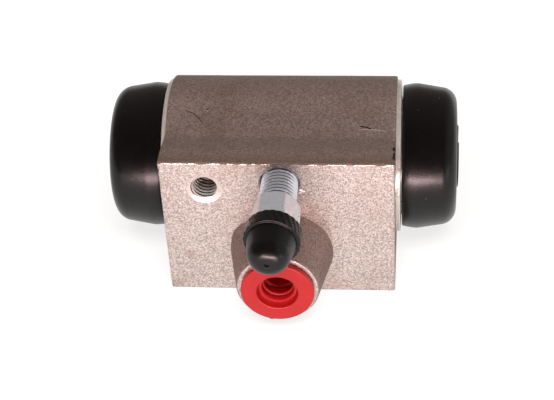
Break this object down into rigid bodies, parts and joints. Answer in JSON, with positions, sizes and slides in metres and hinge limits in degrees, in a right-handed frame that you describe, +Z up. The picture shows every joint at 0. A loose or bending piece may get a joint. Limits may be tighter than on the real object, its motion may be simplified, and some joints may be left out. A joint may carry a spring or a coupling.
{
  "type": "wheel cylinder",
  "caption": "Drum brake wheel cylinder with opposed pistons under rubber dust boots, a capped bleed screw and a plugged inlet port; it spreads the brake shoes.",
  "frame": {"origin": "On the flat base, straight below the middle of the bore", "axes": "+X along the bore to the right-hand piston, -Y out of the mounting face, +Z up from the flat base"},
  "size_m": [0.0774, 0.0664, 0.0379],
  "materials": {
    "casting": "blasted",
    "anodised": "satin",
    "seal_rubber": "satin",
    "boot_rubber": "satin",
    "zinc": "bright zinc",
    "spring_steel": "oiled",
    "red_plastic": "satin"
  },
  "bodies": {
    "housing": {"cylinder_body": "casting", "return_spring": "spring_steel", "dust_boot_left": "boot_rubber", "dust_boot_right": "boot_rubber"},
    "left_piston": {"piston_left": "anodised", "cup_seal_left": "seal_rubber", "cup_expander_left": "zinc"},
    "right_piston": {"piston_right": "anodised", "cup_seal_right": "seal_rubber", "cup_expander_right": "zinc"},
    "bleeder": {"bleed_screw": "zinc"},
    "bleeder_cap": {"bleed_cap": "boot_rubber"},
    "inlet_plug": {"port_plug": "red_plastic"}
  },
  "joints": [
    {"name": "left_piston_slide", "type": "slide", "parent": "housing", "child": "left_piston", "axis": [-1, 0, 0], "range_m": [-0.004, 0.006], "stiffness_N_per_m": 600, "deforming": ["dust_boot_left", "return_spring"]},
    {"name": "right_piston_slide", "type": "slide", "parent": "housing", "child": "right_piston", "axis": [1, 0, 0], "range_m": [-0.004, 0.006], "stiffness_N_per_m": 600, "deforming": ["dust_boot_right"]},
    {"name": "bleed_screw_turn", "type": "hinge", "parent": "housing", "child": "bleeder", "pos_m": [0.0007, -0.04, 0.03032], "axis": [0, -1, 0], "range_deg": [0, 360]},
    {"name": "bleed_cap_pull", "type": "slide", "parent": "bleeder", "child": "bleeder_cap", "axis": [0, -1, 0], "range_m": [0, 0.02]},
    {"name": "port_plug_pull", "type": "slide", "parent": "housing", "child": "inlet_plug", "axis": [0, -1, 0], "range_m": [0, 0.022]}
  ]
}
